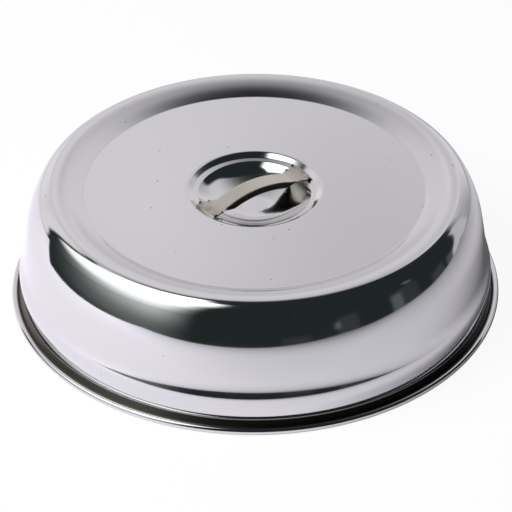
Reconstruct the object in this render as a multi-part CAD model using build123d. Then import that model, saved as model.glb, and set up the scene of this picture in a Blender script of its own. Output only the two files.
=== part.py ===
from build123d import *
import math
import os

# Low steel cover for a hot plate: a spun dome with a handle strap in a finger recess.
# All lengths are millimetres. The dome rests on z = 0 with its axis on z.

# Dome sheet and the rolled rim it rests on
rim_diameter = 280.0
sheet = 0.7
rim_roll_width = 4.4
rim_roll_height = 4.1
rim_curl_height = 1.8

# Wall, from the cove above the rim up to the shoulder; insets count inwards from the rim edge
cove_low_inset = 3.3
cove_high_inset = 5.75
cove_high_height = 7.9
waist_low_inset = 4.7
waist_low_height = 18.4
waist_high_inset = 7.2
waist_high_height = 25.4
wall_turn_inset = 11.1
wall_turn_drop = 17.5
shoulder_inset = 18.3
shoulder_drop = 0.3

# Raised ring round the flat disc
disc_height = 67.5
disc_inset = 43.15
ring_turn_inset = 33.0
ring_turn_rise = 3.7
crest_inset = 24.8
crest_rise = 4.6

# Finger recess in the middle of the disc: bevel, narrow ledge and bowl
recess_diameter = 76.6
bevel_run = 3.5
ledge_depth = 2.3
ledge_width = 2.5
recess_depth = 12.5

# Handle strap along x: an arch with its long edges turned down
strap_sheet = 0.9
strap_width = 9.8
strap_rise = 3.0
strap_edge_depth = 3.0
foot_run = 12.1
edge_stop = 0.8

# Flared feet of the strap, spot-welded to the ledge
foot_width = 18.8
foot_flare_run = 6.0
foot_flare_bend = 1.8
toe_gap = 0.2
toe_bend = 1.8
weld_diameter = 2.8
weld_inset = 1.8
weld_pitch = 6.4
weld_dish = 0.2
welds_per_foot = 3

# Heights, radii and angles that follow from the sizes above
rim_radius = rim_diameter / 2
roll_inner = rim_radius - rim_roll_width
crest_height = disc_height + crest_rise
recess_radius = recess_diameter / 2
ledge_outer = recess_radius - bevel_run
ledge_inner = ledge_outer - ledge_width
ledge_height = disc_height - ledge_depth
bowl_height = disc_height - recess_depth
bowl_rise = recess_depth - ledge_depth
bowl_radius = (ledge_inner**2 + bowl_rise**2) / (2 * bowl_rise)
foot_top = ledge_height + strap_sheet
arch_rise = disc_height + strap_rise - foot_top
toe_radius = ledge_outer - toe_gap
foot_root = toe_radius - foot_run
flare_end = foot_root + foot_flare_run
edge_end = foot_root - edge_stop
foot_angles = (0, 180)
weld_radius = toe_radius - weld_inset
weld_step = 2 * math.degrees(math.asin(weld_pitch / (2 * weld_radius)))
weld_spread = weld_step * (welds_per_foot - 1)

with BuildPart() as dome_shell:
    # Outer face in half section, from the axis to the curled rim; the bowl is one arc, level in the middle
    with BuildSketch(Plane.XZ):
        with BuildLine():
            RadiusArc((0, bowl_height), (ledge_inner, ledge_height), -bowl_radius)
            Polyline(
                (ledge_inner, ledge_height),
                (ledge_outer, ledge_height),
                (recess_radius, disc_height),
                (rim_radius - disc_inset, disc_height),
                (rim_radius - ring_turn_inset, disc_height + ring_turn_rise),
                (rim_radius - crest_inset, crest_height),
                (rim_radius - shoulder_inset, disc_height - shoulder_drop),
                (rim_radius - wall_turn_inset, disc_height - wall_turn_drop),
                (rim_radius - waist_high_inset, waist_high_height),
                (rim_radius - waist_low_inset, waist_low_height),
                (rim_radius - cove_high_inset, cove_high_height),
                (rim_radius - cove_low_inset, rim_roll_height),
                (rim_radius, rim_roll_height),
                (rim_radius, 0),
                (roll_inner, 0),
                (roll_inner, rim_curl_height),
            )
            offset(amount=sheet, side=Side.RIGHT, kind=Kind.INTERSECTION)
        make_face()
    revolve(axis=Axis.Z)


def arch_band(depth):
    """Side view of the strap's arch, from its top face down to a depth."""
    with BuildSketch(Plane.XZ) as band:
        with BuildLine():
            SagittaArc((-foot_root, foot_top), (foot_root, foot_top), arch_rise)
            offset(amount=depth, side=Side.RIGHT)
        make_face()
    return band.sketch


arch_top = arch_band(strap_sheet)
arch_edges = arch_band(strap_edge_depth)
arch_hollow = arch_band(2 * strap_edge_depth)

# Weld spots in a row across each foot
weld_places = [
    Pos(0, 0, ledge_height) * place
    for angle in foot_angles
    for place in PolarLocations(weld_radius, welds_per_foot, angle - weld_spread / 2, weld_spread, endpoint=True)
]

with BuildPart() as handle_strap:
    # Turned-down edges, which stop just before the feet
    extrude(arch_edges, amount=strap_width / 2, both=True)
    Box(2 * edge_end, strap_width, 2 * crest_height, mode=Mode.INTERSECT)
    extrude(arch_hollow, amount=strap_width / 2 - strap_sheet, both=True, mode=Mode.SUBTRACT)
    # Arched top from foot to foot
    extrude(arch_top, amount=strap_width / 2, both=True)
    # Flat feet on the ledge, flared and cut round to match the recess
    with BuildSketch(Plane.XY.offset(ledge_height)) as feet:
        with BuildLine():
            Polyline(
                (edge_end, strap_width / 2),
                (foot_root, strap_width / 2),
                (flare_end, foot_width / 2),
                (recess_radius, foot_width / 2),
                (recess_radius, -foot_width / 2),
                (flare_end, -foot_width / 2),
                (foot_root, -strap_width / 2),
                (edge_end, -strap_width / 2),
                close=True,
            )
        make_face()
        Circle(toe_radius, mode=Mode.INTERSECT)
        fillet(feet.vertices().sort_by(Axis.X)[-2:], toe_bend)
        fillet(feet.vertices().filter_by_position(Axis.X, foot_root, flare_end), foot_flare_bend)
        mirror(about=Plane.YZ)
    extrude(amount=strap_sheet)
    with Locations(weld_places):
        Hole(weld_diameter / 2)

with BuildPart() as spot_welds:
    # Slugs that stand on the ledge and fill each foot to just below its top face
    with Locations(weld_places):
        Cylinder(
            weld_diameter / 2,
            strap_sheet - weld_dish,
            align=(Align.CENTER, Align.CENTER, Align.MIN),
        )

os.makedirs("parts", exist_ok=True)
export_step(dome_shell.part, "parts/dome_shell.step")
export_step(handle_strap.part, "parts/handle_strap.step")
export_step(spot_welds.part, "parts/spot_welds.step")
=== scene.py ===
import math

import bmesh
import bpy
from mathutils import Matrix, Vector


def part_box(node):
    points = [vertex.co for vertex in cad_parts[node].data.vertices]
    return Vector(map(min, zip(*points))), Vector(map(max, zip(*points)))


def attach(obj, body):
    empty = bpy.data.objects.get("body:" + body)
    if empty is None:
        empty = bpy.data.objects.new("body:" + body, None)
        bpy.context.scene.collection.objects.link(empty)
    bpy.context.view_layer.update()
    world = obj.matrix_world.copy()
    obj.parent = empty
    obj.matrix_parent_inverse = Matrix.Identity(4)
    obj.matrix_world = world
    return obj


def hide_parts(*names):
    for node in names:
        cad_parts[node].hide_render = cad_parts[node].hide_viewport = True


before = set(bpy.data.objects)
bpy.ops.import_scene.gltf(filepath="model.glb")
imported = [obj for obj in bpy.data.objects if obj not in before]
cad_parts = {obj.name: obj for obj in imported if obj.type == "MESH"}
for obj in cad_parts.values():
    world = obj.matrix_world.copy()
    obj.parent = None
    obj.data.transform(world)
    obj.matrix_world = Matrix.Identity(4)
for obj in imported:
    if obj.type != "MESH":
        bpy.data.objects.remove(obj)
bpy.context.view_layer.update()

# Dome shell
# The cover is spun from one round blank of stainless steel sheet, with a raised ring round the top,
# a finger recess in the middle and a waist above the rim. Its edge is curled into a hollow roll.
mm = 0.001
shell_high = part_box("dome_shell")[1]
rim_radius = shell_high.x
crest_height = shell_high.z
sheet = 0.7 * mm
# finger recess, from the bottom of its bowl over the narrow ledge up to the disc
disc_height = crest_height - 4.6 * mm
bowl_height = disc_height - 11.8 * mm
bowl_turn_radius = 21.0 * mm
bowl_bend = 39.0 * mm
ledge_inner = 32.3 * mm
ledge_outer = 34.8 * mm
ledge_height = disc_height - 2.3 * mm
ledge_lean = 0.55 * mm
ledge_bend = 1.6 * mm
recess_radius = 38.3 * mm
recess_bend = 1.8 * mm
# flat disc, and the raised ring, whose inner flank is one arc from the disc's edge to the level crest
disc_radius = rim_radius - 43.15 * mm
disc_bend = 2.0 * mm
crest_radius = rim_radius - 24.8 * mm
crest_bend = 3.0 * mm
flank_run = crest_radius - disc_radius
flank_rise = crest_height - disc_height
flank_reach = (flank_run**2 + flank_rise**2) / (2 * flank_run)
flank_turn = math.atan2(flank_rise, flank_run - flank_reach)
flank_bend = (flank_reach - crest_bend / 2) / math.tan(flank_turn / 2)
# shoulder and wall with its waist, down to the groove inside the rim
shoulder_radius = rim_radius - 19.3 * mm
shoulder_height = disc_height + 1.42 * mm
shoulder_bend = 15.0 * mm
wall_radius = rim_radius - 11.9 * mm
wall_height = disc_height - 11.5 * mm
wall_bend = 57.0 * mm
waist_top_radius = rim_radius - 7.3 * mm
waist_top_height = 25.2 * mm
waist_top_bend = 30.0 * mm
waist_foot_radius = rim_radius - 4.6 * mm
waist_foot_height = 18.42 * mm
waist_foot_bend = 15.0 * mm
cove_radius = rim_radius - 5.8 * mm
cove_height = 6.9 * mm
cove_bend = 1.5 * mm
groove_radius = rim_radius - 3.7 * mm
groove_height = 3.25 * mm
# hollow rolled rim
roll_start_radius = rim_radius - 3.09 * mm
roll_inner = rim_radius - 4.4 * mm
roll_height = 4.1 * mm
roll_bend = 2.0 * mm
curl_height = 1.8 * mm
edge_bend = 0.15 * mm
# half section of the outer face: radius, height and bend of each corner, from the axis to the curled edge
shell_corners = [
    (0, bowl_height, 0),
    (bowl_turn_radius, bowl_height, bowl_bend),
    (ledge_inner, ledge_height - ledge_lean, ledge_bend),
    (ledge_outer, ledge_height, ledge_bend),
    (recess_radius, disc_height, recess_bend),
    (disc_radius, disc_height, disc_bend),
    (crest_radius - flank_reach, crest_height, flank_bend),
    (crest_radius, crest_height, crest_bend),
    (shoulder_radius, shoulder_height, shoulder_bend),
    (wall_radius, wall_height, wall_bend),
    (waist_top_radius, waist_top_height, waist_top_bend),
    (waist_foot_radius, waist_foot_height, waist_foot_bend),
    (cove_radius, cove_height, cove_bend),
    (groove_radius, groove_height, edge_bend),
    (roll_start_radius, roll_height, roll_bend),
    (rim_radius, roll_height, roll_bend),
    (rim_radius, 0, roll_bend),
    (roll_inner, 0, roll_bend),
    (roll_inner, curl_height, edge_bend),
]
# fineness of the mesh, and the guard rings that keep the shading of straight stretches flat
shell_round_steps = 200
bend_step = math.radians(6)
bend_length = 2.5 * mm
least_bend_steps = 3
guard = 0.3 * mm
guard_share = 0.3
merge_gap = 0.001 * mm


def draw_straight(mesh, tip, goal):
    """Draws a straight stretch on from a vertex, with a guard ring near each end that keeps it flat."""
    start = tip.co.copy()
    near = min(guard / (goal - start).length, guard_share)
    for share in (near, 1 - near, 1):
        tip = bmesh.ops.extrude_vert_indiv(mesh, verts=[tip])["verts"][0]
        tip.co = start.lerp(goal, share)
    return tip


def draw_section(mesh, corners):
    """Draws a line through corners in the xz plane, each a radius, a height and the radius of its bend."""
    places = [Vector((across, 0, up)) for across, up, bend in corners]
    tip = mesh.verts.new(places[0])
    for index in range(1, len(corners) - 1):
        come = (places[index] - places[index - 1]).normalized()
        go = (places[index + 1] - places[index]).normalized()
        bend = corners[index][2]
        turn = come.angle(go)
        axis = come.cross(go).normalized()
        tip = draw_straight(mesh, tip, places[index] - come * bend * math.tan(turn / 2))
        steps = max(least_bend_steps, math.ceil(turn / bend_step), math.ceil(turn * bend / bend_length))
        middle = tip.co + axis.cross(come) * bend
        bent = bmesh.ops.spin(mesh, geom=[tip], cent=middle, axis=axis, angle=turn, steps=steps)
        tip = [part for part in bent["geom_last"] if isinstance(part, bmesh.types.BMVert)][0]
    draw_straight(mesh, tip, places[-1])


def inner_line(corners, thickness):
    """Corners of the inner face of a bent sheet, which lies on the right of its outer line."""
    places = [Vector((across, 0, up)) for across, up, bend in corners]
    ways = [(end - start).normalized() for start, end in zip(places, places[1:])]
    inner = []
    for index, (across, up, bend) in enumerate(corners):
        come = ways[max(index - 1, 0)]
        go = ways[min(index, len(ways) - 1)]
        mitre = thickness / (1 + come.dot(go))
        right_turn = come.z * go.x - come.x * go.z
        inner_bend = max(bend - math.copysign(thickness, right_turn), edge_bend)
        inner.append((across + (come.z + go.z) * mitre, up - (come.x + go.x) * mitre, inner_bend))
    return inner


def spin_round(mesh, steps):
    """Spins a drawn section round the z axis into a closed shape whose faces point outwards."""
    bmesh.ops.spin(
        mesh,
        geom=mesh.verts[:] + mesh.edges[:],
        cent=(0, 0, 0),
        axis=(0, 0, 1),
        angle=math.tau,
        steps=steps,
        use_merge=True,
    )
    bmesh.ops.remove_doubles(mesh, verts=mesh.verts, dist=merge_gap)
    bmesh.ops.recalc_face_normals(mesh, faces=mesh.faces)


def make_object(name, mesh, material):
    """Makes an object of a bmesh and puts it into the scene."""
    data = bpy.data.meshes.new(name)
    mesh.to_mesh(data)
    mesh.free()
    data.materials.append(material)
    made = bpy.data.objects.new(name, data)
    bpy.context.scene.collection.objects.link(made)
    return made


def finish_piece(name, mesh, material, node):
    """Makes a smoothly shaded piece of a bmesh, which stands in for a CAD node."""
    piece = make_object(name, mesh, material)
    piece.data.polygons.foreach_set("use_smooth", [True] * len(piece.data.polygons))
    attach(piece, "root")
    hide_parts(node)
    return piece


shell_mesh = bmesh.new()
draw_section(shell_mesh, shell_corners + inner_line(shell_corners, sheet)[::-1])
spin_round(shell_mesh, shell_round_steps)


def add_node(tree, kind, values, feeds, output=0, **settings):
    """Adds a shader node with values and feeds on its sockets, and gives one of its outputs."""
    node = tree.nodes.new("ShaderNode" + kind)
    for name, setting in settings.items():
        setattr(node, name, setting)
    for socket, value in values.items():
        node.inputs[socket].default_value = value
    for socket, source in feeds.items():
        tree.links.new(source, node.inputs[socket])
    return node.outputs[output]


def add_ramp(tree, value, start, end, low=0, high=1, shape="LINEAR"):
    """Adds a level that goes from low to high while a value goes from start to end."""
    limits = {"From Min": start, "From Max": end, "To Min": low, "To Max": high}
    return add_node(tree, "MapRange", limits, {"Value": value}, interpolation_type=shape)


def start_steel(name):
    """Makes a bare metal material, and gives it with its node tree."""
    material = bpy.data.materials.new(name)
    material.use_nodes = True
    material.node_tree.nodes["Principled BSDF"].inputs["Metallic"].default_value = 1
    return material, material.node_tree


def finish_steel(tree, tone, roughness, normal):
    """Feeds the tone, the roughness and the fine relief of a steel to its surface."""
    surface = tree.nodes["Principled BSDF"]
    tree.links.new(tone, surface.inputs["Base Color"])
    tree.links.new(roughness, surface.inputs["Roughness"])
    tree.links.new(normal, surface.inputs["Normal"])


# mirror polish with faint marks of the spinning lathe, a little waviness and a few small pits
polish_tone = (0.66, 0.66, 0.66, 1)
polish_roughness = 0.035
haze_roughness = 0.04
lathe_roughness = 0.03
lathe_depth = 0.0015 * mm
wave_depth = 0.05 * mm
pit_tone = (0.1, 0.1, 0.1, 1)
pit_edge = (0.05, 0.025)
pit_strength = 0.7
polished, tree = start_steel("polished_steel")
place = add_node(tree, "TexCoord", {}, {}, "Object")
level = add_node(tree, "VectorMath", {1: (1, 1, 0)}, {0: place}, operation="MULTIPLY")
reach = add_node(tree, "VectorMath", {}, {0: level}, "Value", operation="LENGTH")
height = add_node(tree, "SeparateXYZ", {}, {0: place}, "Z")
section = add_node(tree, "CombineXYZ", {}, {"X": reach, "Z": height})
lathe_marks = add_node(tree, "TexNoise", {"Scale": 900, "Detail": 3}, {"Vector": section})
haze = add_node(tree, "TexNoise", {"Scale": 40, "Detail": 4}, {"Vector": place})
hazy = add_node(tree, "Math", {1: haze_roughness, 2: polish_roughness}, {0: haze}, operation="MULTIPLY_ADD")
gloss = add_node(tree, "Math", {1: lathe_roughness}, {0: lathe_marks, 2: hazy}, operation="MULTIPLY_ADD")
waves = add_node(tree, "TexNoise", {"Scale": 28, "Detail": 1}, {"Vector": place})
wavy = add_node(tree, "Bump", {"Distance": wave_depth}, {"Height": waves})
marked = add_node(tree, "Bump", {"Distance": lathe_depth}, {"Height": lathe_marks, "Normal": wavy})
pit_cells = add_node(tree, "TexVoronoi", {"Scale": 75}, {"Vector": place}, "Distance")
pits = add_ramp(tree, pit_cells, *pit_edge, high=pit_strength)
pitted = add_node(tree, "Mix", {6: polish_tone, 7: pit_tone}, {0: pits}, 2, data_type="RGBA")
# the groove inside the rolled rim, where the polishing wheel does not reach: rougher, and darkened with
# painted shade that deepens towards the side away from the lamp
groove_inside = (rim_radius - 6.0 * mm, rim_radius - 5.6 * mm)
groove_outside = (rim_radius - 3.1 * mm, rim_radius - 3.6 * mm)
groove_above = (8.1 * mm, 7.2 * mm)
groove_roughness = 0.32
shade_side = (0.82, -0.57, 0)
shade_spread = (-0.04, 0.11)
light_groove_shade_tone = (0.1, 0.092, 0.078, 1)
deep_groove_shade_tone = (0.012, 0.012, 0.012, 1)
groove_start = add_ramp(tree, reach, *groove_inside, shape="SMOOTHSTEP")
groove_end = add_ramp(tree, reach, *groove_outside, shape="SMOOTHSTEP")
groove_top = add_ramp(tree, height, *groove_above, shape="SMOOTHSTEP")
groove_ring = add_node(tree, "Math", {}, {0: groove_start, 1: groove_end}, operation="MULTIPLY")
groove = add_node(tree, "Math", {}, {0: groove_ring, 1: groove_top}, operation="MULTIPLY")
# painted shade in the groove, from lighter on the lamp's side to deep on the side away from it
shade_way = add_node(tree, "VectorMath", {1: shade_side}, {0: place}, "Value", operation="DOT_PRODUCT")
groove_shade = add_ramp(tree, shade_way, *shade_spread)
shaded_groove = add_node(tree, "Mix", {6: light_groove_shade_tone, 7: deep_groove_shade_tone}, {0: groove_shade}, 2, data_type="RGBA")
shell_tone = add_node(tree, "Mix", {}, {0: groove, 6: pitted, 7: shaded_groove}, 2, data_type="RGBA")
shell_gloss = add_node(tree, "Mix", {3: groove_roughness}, {0: groove, 2: gloss}, data_type="FLOAT")
finish_steel(tree, shell_tone, shell_gloss, marked)
finish_piece("dome_shell_polished", shell_mesh, polished, "dome_shell")

# Handle strap
# A strip of stainless steel sheet, pressed into a low arch with its long edges turned down.
# At each end it runs out into a flat flared foot, cut round to lie on the ledge of the recess.
strap_sheet = 0.9 * mm
crown_height = disc_height + 3.0 * mm
foot_top = ledge_height + strap_sheet
arch_end = 21.0 * mm
foot_start = 24.0 * mm
arch_radius = arch_end * foot_start / (2 * (crown_height - foot_top))
flat_half_width = 4.75 * mm
fold_length = 1.18 * mm
edge_length = 3.1 * mm
foot_half_width = 9.4 * mm
flare_start = 22.0 * mm
flare_end = 32.0 * mm
fold_start = 21.0 * mm
fold_end = 27.0 * mm
least_fold = 0.001
taper_start = 18.0 * mm
taper_end = 25.0 * mm
toe_radius = ledge_outer - 0.2 * mm
toe_bend = 1.8 * mm
toe_flat = foot_half_width - toe_bend
flare = foot_half_width - fold_length - flat_half_width
level_reach = foot_start - arch_end
strap_steps_along = 140
strap_steps_across = 40


def eased(start, end, value):
    """Share from 0 to 1 that leaves one level and reaches the next one softly."""
    share = min(max((value - start) / (end - start), 0), 1)
    return share * share * (3 - 2 * share)


def strap_place(along, across):
    """Place on the strap's top face of a point of a square sheet that reaches from -1 to 1."""
    share = math.sin(abs(across) * math.pi / 2)
    toe_across = share * foot_half_width
    toe_round = math.sqrt(max(toe_bend**2 - max(toe_across - toe_flat, 0) ** 2, 0))
    toe_along = math.sqrt(toe_radius**2 - min(toe_across, toe_flat) ** 2) - toe_bend + toe_round
    run = abs(along) * toe_along
    flat = flat_half_width + flare * eased(flare_start, flare_end, run)
    strip = share * (flat + fold_length + edge_length * (1 - eased(taper_start, taper_end, run)))
    # height and slope of the arch, which turns level between its end and the foot
    arch_run = min(run, arch_end)
    level_run = min(max(run - arch_end, 0), level_reach)
    slope = arch_run / arch_radius * (1 - level_run / level_reach)
    level_fall = arch_end * level_run * (1 - level_run / (2 * level_reach))
    fall = (arch_run**2 / 2 + level_fall) / arch_radius
    # fold of the long edge, which opens out towards the foot
    fold = math.pi / 2 * (1 - eased(fold_start, fold_end, run))
    folded = min(max(strip - flat, 0), fold_length)
    edge = max(strip - flat - fold_length, 0)
    turned = fold * folded / fold_length
    bend = fold_length / max(fold, least_fold)
    out = min(strip, flat) + bend * math.sin(turned) + edge * math.cos(turned)
    drop = bend * (1 - math.cos(turned)) + edge * math.sin(turned)
    lean = math.atan(slope)
    return (
        math.copysign(run - drop * math.sin(lean), along),
        math.copysign(out, across),
        crown_height - fall - drop * math.cos(lean),
    )


strap_mesh = bmesh.new()
bmesh.ops.create_grid(strap_mesh, x_segments=strap_steps_along, y_segments=strap_steps_across, size=1)
for corner in strap_mesh.verts:
    corner.co = strap_place(corner.co.x, corner.co.y)
bmesh.ops.recalc_face_normals(strap_mesh, faces=strap_mesh.faces)

# satin mill finish, with a grain along the strip and faint cloudy stains
satin_dark = (0.575, 0.54, 0.465, 1)
satin_light = (0.65, 0.615, 0.55, 1)
satin_roughness = 0.26
grain_roughness = 0.16
grain_scale = (60, 2200, 2200)
grain_depth = 0.006 * mm
satin, tree = start_steel("satin_steel")
place = add_node(tree, "TexCoord", {}, {}, "Object")
along_strip = add_node(tree, "Mapping", {"Scale": grain_scale}, {"Vector": place})
grain = add_node(tree, "TexNoise", {"Scale": 1, "Detail": 3}, {"Vector": along_strip})
grained = add_node(tree, "Bump", {"Distance": grain_depth}, {"Height": grain})
gloss = add_node(
    tree, "Math", {1: grain_roughness, 2: satin_roughness}, {0: grain}, operation="MULTIPLY_ADD"
)
stains = add_node(tree, "TexNoise", {"Scale": 220, "Detail": 3}, {"Vector": place})
stained = add_node(tree, "Mix", {6: satin_dark, 7: satin_light}, {0: stains}, 2, data_type="RGBA")
# the feet, tinted by the heat of the welds
heat_tone = (0.33, 0.315, 0.27, 1)
heat_reach = (23 * mm, 33 * mm)
heat_clouds = (0.35, 0.65)
least_heat = 0.35
lengthwise = add_node(tree, "SeparateXYZ", {}, {0: place}, "X")
from_middle = add_node(tree, "Math", {}, {0: lengthwise}, operation="ABSOLUTE")
near_weld = add_ramp(tree, from_middle, *heat_reach)
clouded = add_ramp(tree, stains, *heat_clouds, low=least_heat)
heat = add_node(tree, "Math", {}, {0: near_weld, 1: clouded}, operation="MULTIPLY")
heated = add_node(tree, "Mix", {7: heat_tone}, {0: heat, 6: stained}, 2, data_type="RGBA")
# the turned-down edges, darkened with painted shade on their steep faces
edge_shade_tone = (0.07, 0.067, 0.058, 1)
edge_shade_steepness = (0.7, 0.25)
edge_shade_strength = 0.85
facing = add_node(tree, "TexCoord", {}, {}, "Normal")
upward = add_node(tree, "SeparateXYZ", {}, {0: facing}, "Z")
flatness = add_node(tree, "Math", {}, {0: upward}, operation="ABSOLUTE")
# painted shade: the steeper a face of the strap, the darker its colour
on_edge = add_ramp(tree, flatness, *edge_shade_steepness, high=edge_shade_strength)
edge_shaded = add_node(tree, "Mix", {7: edge_shade_tone}, {0: on_edge, 6: heated}, 2, data_type="RGBA")
finish_steel(tree, edge_shaded, gloss, grained)
strap = finish_piece("handle_strap_satin", strap_mesh, satin, "handle_strap")
strap_wall = strap.modifiers.new("sheet", "SOLIDIFY")
strap_wall.thickness = strap_sheet
strap_wall.offset = -1
strap_edge = strap.modifiers.new("edge", "BEVEL")
strap_edge.width = 0.2 * mm
strap_edge.segments = 2
strap_edge.limit_method = "ANGLE"
strap_edge.angle_limit = math.radians(60)

# Spot welds
# Three resistance welds fuse each foot of the strap to the ledge. Each shows as a small dull ring,
# where the electrode pressed the sheets together.
weld_radius = 1.1 * mm
weld_circle = 32.8 * mm
weld_half_pitch = 3.2 * mm
weld_step = 2 * math.asin(weld_half_pitch / weld_circle)
weld_turns = (weld_step, -weld_step, math.pi, math.pi + weld_step, math.pi - weld_step)
dimple_radius = weld_radius * 0.5
dimple_height = foot_top + 0.03 * mm
dimple_bend = 0.3 * mm
ring_radius = weld_radius * 0.8
ring_height = foot_top + 0.09 * mm
ring_bend = 0.2 * mm
weld_side_height = foot_top - 0.05 * mm
weld_side_bend = 0.1 * mm
weld_round_steps = 32
weld_corners = [
    (0, dimple_height, 0),
    (dimple_radius, dimple_height, dimple_bend),
    (ring_radius, ring_height, ring_bend),
    (weld_radius, weld_side_height, weld_side_bend),
    (weld_radius, ledge_height, edge_bend),
    (0, ledge_height, 0),
]
weld_mesh = bmesh.new()
draw_section(weld_mesh, weld_corners)
spin_round(weld_mesh, weld_round_steps)
bmesh.ops.translate(weld_mesh, verts=weld_mesh.verts, vec=(weld_circle, 0, 0))
first_weld = weld_mesh.verts[:] + weld_mesh.edges[:] + weld_mesh.faces[:]
for turn in weld_turns:
    weld = bmesh.ops.duplicate(weld_mesh, geom=first_weld)["geom"]
    weld_points = [part for part in weld if isinstance(part, bmesh.types.BMVert)]
    bmesh.ops.rotate(weld_mesh, verts=weld_points, cent=(0, 0, 0), matrix=Matrix.Rotation(turn, 3, "Z"))

# dull heat-stained spots with a pinched rough face
burn_dark = (0.3, 0.28, 0.25, 1)
burn_light = (0.5, 0.48, 0.46, 1)
weld_roughness = 0.3
burn_roughness = 0.3
pinch_depth = 0.03 * mm
dull, tree = start_steel("weld_steel")
place = add_node(tree, "TexCoord", {}, {}, "Object")
burn = add_node(tree, "TexNoise", {"Scale": 1500, "Detail": 3}, {"Vector": place})
burnt = add_node(tree, "Mix", {6: burn_dark, 7: burn_light}, {0: burn}, 2, data_type="RGBA")
gloss = add_node(tree, "Math", {1: burn_roughness, 2: weld_roughness}, {0: burn}, operation="MULTIPLY_ADD")
pinched = add_node(tree, "Bump", {"Distance": pinch_depth}, {"Height": burn})
finish_steel(tree, burnt, gloss, pinched)
finish_piece("spot_welds_dull", weld_mesh, dull, "spot_welds")

# Camera
# Stands where the photograph was taken: 1.82 m from the middle of the rim, almost 36 degrees up.
# A long lens fills the picture with the dome, and the strap lies 35 degrees off the picture's own right.
camera_distance = 1.82
camera_height_angle = math.radians(35.67)
strap_angle = math.radians(35)
aim_lift = math.radians(0.538)
aim_pan = math.radians(-0.021)
camera_roll = math.radians(-0.344)
image_right = Vector((math.cos(strap_angle), -math.sin(strap_angle), 0))
image_back = Vector((math.sin(strap_angle), math.cos(strap_angle), 0))
up = Vector((0, 0, 1))
aim_height = -camera_height_angle + aim_lift
aim_level = image_back * math.cos(aim_pan) - image_right * math.sin(aim_pan)
aim = aim_level * math.cos(aim_height) + up * math.sin(aim_height)
level_right = aim.cross(up).normalized()
level_up = level_right.cross(aim)
view_right = level_right * math.cos(camera_roll) + level_up * math.sin(camera_roll)
view_up = view_right.cross(aim)
camera_way = up * math.sin(camera_height_angle) - image_back * math.cos(camera_height_angle)
camera = bpy.data.objects.new("camera", bpy.data.cameras.new("camera"))
camera.data.sensor_width = 36
camera.data.lens = 221.7
camera.data.clip_end = 20
camera.matrix_world = Matrix((view_right, view_up, -aim)).transposed().to_4x4()
camera.location = camera_distance * camera_way
bpy.context.scene.collection.objects.link(camera)
bpy.context.scene.camera = camera

# Studio
# A white table top that ends not far from the dome, a pale backdrop behind it, a bright window on the left
# with a soft glow below it, a side panel on the right, and elsewhere a dark room with a few dim things.
room_radius = 3.3
floor_radius = 3.2


def stage_object(name, mesh, material):
    """Makes an object for the studio."""
    thing = make_object(name, mesh, material)
    return thing


# white paint of the table and the floor, with painted shade towards the front, but nearly pure white for
# the camera
table_tint = (0.8, 0.77, 0.85)
front_shade_span = (-0.5, -0.2)
front_shade_level = 0.35
camera_white = 0.94
mirror_fill_glow = 0.1
white = bpy.data.materials.new("white_table")
white.use_nodes = True
tree = white.node_tree
paint = tree.nodes["Principled BSDF"]
paint.inputs["Roughness"].default_value = 0.9
paint.inputs["Specular IOR Level"].default_value = 0.0
place = add_node(tree, "TexCoord", {}, {}, "Object")
backward = add_node(tree, "VectorMath", {1: image_back}, {0: place}, "Value", operation="DOT_PRODUCT")
# painted shade: the paint darkens towards the table's front
front_shade = add_ramp(tree, backward, *front_shade_span, low=front_shade_level)
tint = add_node(tree, "VectorMath", {0: table_tint}, {"Scale": front_shade}, operation="SCALE")
tree.links.new(tint, paint.inputs["Base Color"])
# in mirrors the table also glows a little: a painted fill light that lifts its shadows
camera_ray = add_node(tree, "LightPath", {}, {}, "Is Camera Ray")
mirror_ray = add_node(tree, "LightPath", {}, {}, "Is Glossy Ray")
camera_share = add_node(tree, "Math", {1: camera_white}, {0: camera_ray}, operation="MULTIPLY")
white_share = add_node(
    tree, "Math", {1: mirror_fill_glow}, {0: mirror_ray, 2: camera_share}, operation="MULTIPLY_ADD"
)
own_white = add_node(tree, "Emission", {}, {})
table_surface = add_node(tree, "MixShader", {}, {0: white_share, 1: paint.outputs[0], 2: own_white})
tree.links.new(table_surface, tree.nodes["Material Output"].inputs["Surface"])

# table top, its corners in metres across and into the picture, on a floor that only the camera sees
table_corners = [(-0.43, -0.4), (0.46, -0.59), (0.78, -0.34), (0.8, 0.6), (-1.2, 0.6), (-0.335, 0.045)]
table_drop = 0.01 * mm
floor_drop = 0.1 * mm
floor_steps = 128
table_mesh = bmesh.new()
for across, back in table_corners:
    table_mesh.verts.new(image_right * across + image_back * back - up * table_drop)
table_mesh.faces.new(table_mesh.verts[:])
stage_object("table", table_mesh, white)
floor_mesh = bmesh.new()
bmesh.ops.create_circle(floor_mesh, cap_ends=True, segments=floor_steps, radius=floor_radius)
bmesh.ops.translate(floor_mesh, verts=floor_mesh.verts, vec=(0, 0, -floor_drop))
floor = stage_object("floor", floor_mesh, white)
floor.visible_glossy = False
floor.visible_diffuse = False
floor.visible_shadow = False


# light of the room, by turn to the right of the picture's back and height above the table, in degrees
def fade_out(height, level, top, softness):
    """Level that fades out softly above a height."""
    return level / (1 + math.exp((height - top) / softness))


def hump(value, middle, width, power=2):
    """Share that is 1 at a middle and falls off on both sides of it."""
    return math.exp(-(((value - middle) / width) ** power))


def past(edge, softness, value):
    """Share that grows softly from 0 before an edge to 1 past it."""
    return eased(edge - softness, edge + softness, value)


def between(start, end, softness, value):
    """Share that is 1 between a start and an end, with soft ends."""
    return past(start, softness, value) * (1 - past(end, softness, value))


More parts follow.
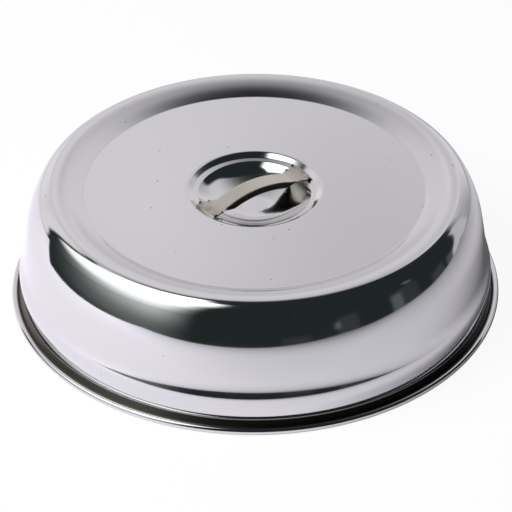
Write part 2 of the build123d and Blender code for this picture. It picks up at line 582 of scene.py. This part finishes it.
# window on the left, its glow and its lean to the left, which grows higher up
window_right_end = -61
window_lean = 0.3
window_lean_start = 28
window_top_lean = 0.7
window_top_lean_start = 48
window_left_end = -139.5
window_top_spread = 5
window_left_softness = 13
pane_level = 1.5
pane_top_gain = 0.8
sill_turn = -76
sill_foot = 19
sill_foot_rise = 0.12
sill_top = 33
sill_top_rise = 0.2
lit_wall_level = 0.15
lit_wall_gain = 1.3


def window_edge(height):
    """Turn of the window's right end at a height."""
    lean = window_lean * max(height - window_lean_start, 0)
    top_lean = window_top_lean * max(height - window_top_lean_start, 0)
    return window_right_end - lean - top_lean


def window_glow(turn, height):
    """Brightness of the window and of what it lights, in a direction."""
    # lit wall below the window, brighter upwards and towards the left
    lit_wall = (lit_wall_level + lit_wall_gain * eased(-2, 40, height)) * (1 - eased(-118, -58, turn))
    # panes, brighter in their upper part, over a soft sill that rises towards the left
    panes = pane_level + pane_top_gain * eased(38, 50, height)
    sill = max(sill_turn - turn, 0)
    over_sill = eased(sill_foot + sill_foot_rise * sill, sill_top + sill_top_rise * sill, height)
    glow = lit_wall + over_sill * (panes - lit_wall)
    # ends: soft on the left, sharp on the right and at the top
    left_end = window_left_end - window_top_spread * eased(56, 66, height)
    right_end = window_edge(height)
    glow *= past(left_end, window_left_softness, turn)
    glow *= 1 - eased(right_end - 1.5, right_end + 1, turn)
    return glow * (1 - eased(74.5, 78, height)) * eased(-12, 0, height)


# pale backdrop, a little brighter on its left; it fades out towards the ceiling, earlier in its middle
backdrop_level = 0.84
backdrop_left_gain = 0.11
middle_low_level = 0.55
middle_high_level = 0.33
foot_shade_level = 0.17
tilt_level = 0.035
low_strip_level = 0.14
window_gap = 2
window_gap_gain = 2.5
backdrop_right_end = 48
backdrop_top_spread = 17


def backdrop_glow(turn, height):
    """Brightness of the backdrop in a direction."""
    left = (1 - eased(-50, -38, turn)) * (1 - eased(36, 50, height))
    glow = fade_out(height, level=backdrop_level + backdrop_left_gain * left, top=59.5, softness=6)
    middle = fade_out(height, level=middle_low_level, top=45, softness=5)
    middle += fade_out(height, level=middle_high_level, top=66, softness=5)
    glow += hump(turn, middle=0, width=15) * (middle - glow)
    # shade at the middle's foot, a tilt from left to right over it, and a low bright strip on its left
    foot_shade = foot_shade_level * hump(turn, middle=0, width=11, power=4) * (1 - eased(20, 29, height))
    tilt = tilt_level * turn * hump(turn, middle=0, width=6) * hump(height, middle=36, width=4)
    low_strip = low_strip_level * between(-41, -21, softness=5, value=turn) * (1 - eased(12, 22, height))
    glow += low_strip - foot_shade - tilt
    # ends beside the window and at the right, where it reaches further round higher up
    left_end = window_edge(height) + window_gap + window_gap_gain * eased(6, 11, height)
    right_end = backdrop_right_end + backdrop_top_spread * eased(30, 56, height)
    return glow * past(left_end, softness=1.5, value=turn) * (1 - past(right_end, softness=3, value=turn))


# side panel on the right, brighter on its right part, up to a slanted end
panel_level = 0.42
panel_upper_gain = 0.07
panel_right_level = 0.61
panel_slant = 0.45
panel_top = 28.5
panel_softness = 2
panel_left_softness = 11


def panel_glow(turn, height):
    """Brightness of the side panel in a direction."""
    left_part = panel_level + panel_upper_gain * eased(4, 12, height)
    glow = left_part + eased(50, 53, turn) * (panel_right_level - left_part)
    return glow * (1 - eased(69.5, 71, turn + panel_slant * height))


def panel_share(turn, height):
    """Share of the side panel in the light from a direction, where the backdrop has the rest."""
    softness = panel_softness + panel_left_softness * (1 - eased(48, 54, turn))
    return eased(28, 46, turn) * (1 - past(panel_top, softness, height))


# dim things in the dark part of the room: left and right end, foot and top in degrees, and brightness
room_things = [
    (71, 77, -5, 1, 0.08),
    (80, 89, -5, 3, 0.035),
    (98, 108, -5, 13, 0.02),
    (99, 103, 17, 25, 0.11),
    (108, 114, -5, 11, 0.1),
    (132, 142, -5, 13, 0.025),
    (141, 143.5, 2, 9, 0.12),
    (155, 168, -5, 2, 0.02),
]


def things_glow(turn, height):
    """Brightness of the dim things in a direction."""
    glow = 0
    for left, right, foot, top, bright in room_things:
        across = between(left, right, softness=1, value=turn)
        upright = between(foot, top, softness=2, value=height)
        glow += bright * across * upright
    return glow


# room: a ball round the studio that carries this light, which only mirrors see
backdrop_tint = Vector((1.0, 0.965, 1.01))
window_tint = Vector((0.97, 1.0, 0.98))
room_shade = Vector((0.021, 0.027, 0.028))
room_steps_round = 360
room_steps_up = 180
room_paint = bpy.data.materials.new("room")
room_paint.use_nodes = True
room_paint.cycles.emission_sampling = "NONE"
tree = room_paint.node_tree
painted = add_node(tree, "Attribute", {}, {}, "Color", attribute_name="glow")
light = add_node(tree, "Emission", {}, {"Color": painted})
tree.links.new(light, tree.nodes["Material Output"].inputs["Surface"])
room_mesh = bmesh.new()
bmesh.ops.create_uvsphere(
    room_mesh, u_segments=room_steps_round, v_segments=room_steps_up, radius=room_radius
)
glow_layer = room_mesh.verts.layers.float_color.new("glow")
for corner in room_mesh.verts:
    turn = math.degrees(math.atan2(corner.co.dot(image_right), corner.co.dot(image_back)))
    height = math.degrees(math.asin(max(-1, min(1, corner.co.z / room_radius))))
    pale = backdrop_glow(turn, height)
    pale += panel_share(turn, height) * (panel_glow(turn, height) - pale)
    tone = backdrop_tint * pale + window_tint * window_glow(turn, height) + room_shade
    tone += window_tint * things_glow(turn, height)
    corner[glow_layer] = (*tone, 1)
room = stage_object("room", room_mesh, room_paint)
room.visible_camera = False
room.visible_diffuse = False

# soft lamp on the window's side, which lights the table
lamp_turn = math.radians(109)
lamp_reach = 0.72
lamp_height = 0.9
lamp_place = Matrix.Rotation(lamp_turn, 3, "Z") @ image_back * lamp_reach + up * lamp_height
lamp = bpy.data.objects.new("lamp", bpy.data.lights.new("lamp", "AREA"))
lamp.data.shape = "SQUARE"
lamp.data.size = 0.7
lamp.data.energy = 21.2
lamp.location = lamp_place
lamp.rotation_mode = "QUATERNION"
lamp.rotation_quaternion = lamp_place.to_track_quat("Z", "Y")
lamp.visible_glossy = False
bpy.context.scene.collection.objects.link(lamp)

# air beyond the floor, white for the camera alone
world = bpy.data.worlds.new("studio_air")
world.use_nodes = True
tree = world.node_tree
air = tree.nodes["Background"]
air.inputs["Color"].default_value = (1, 1, 1, 1)
tree.links.new(add_node(tree, "LightPath", {}, {}, "Is Camera Ray"), air.inputs["Strength"])
bpy.context.scene.world = world
bpy.context.scene.view_settings.view_transform = "Standard"
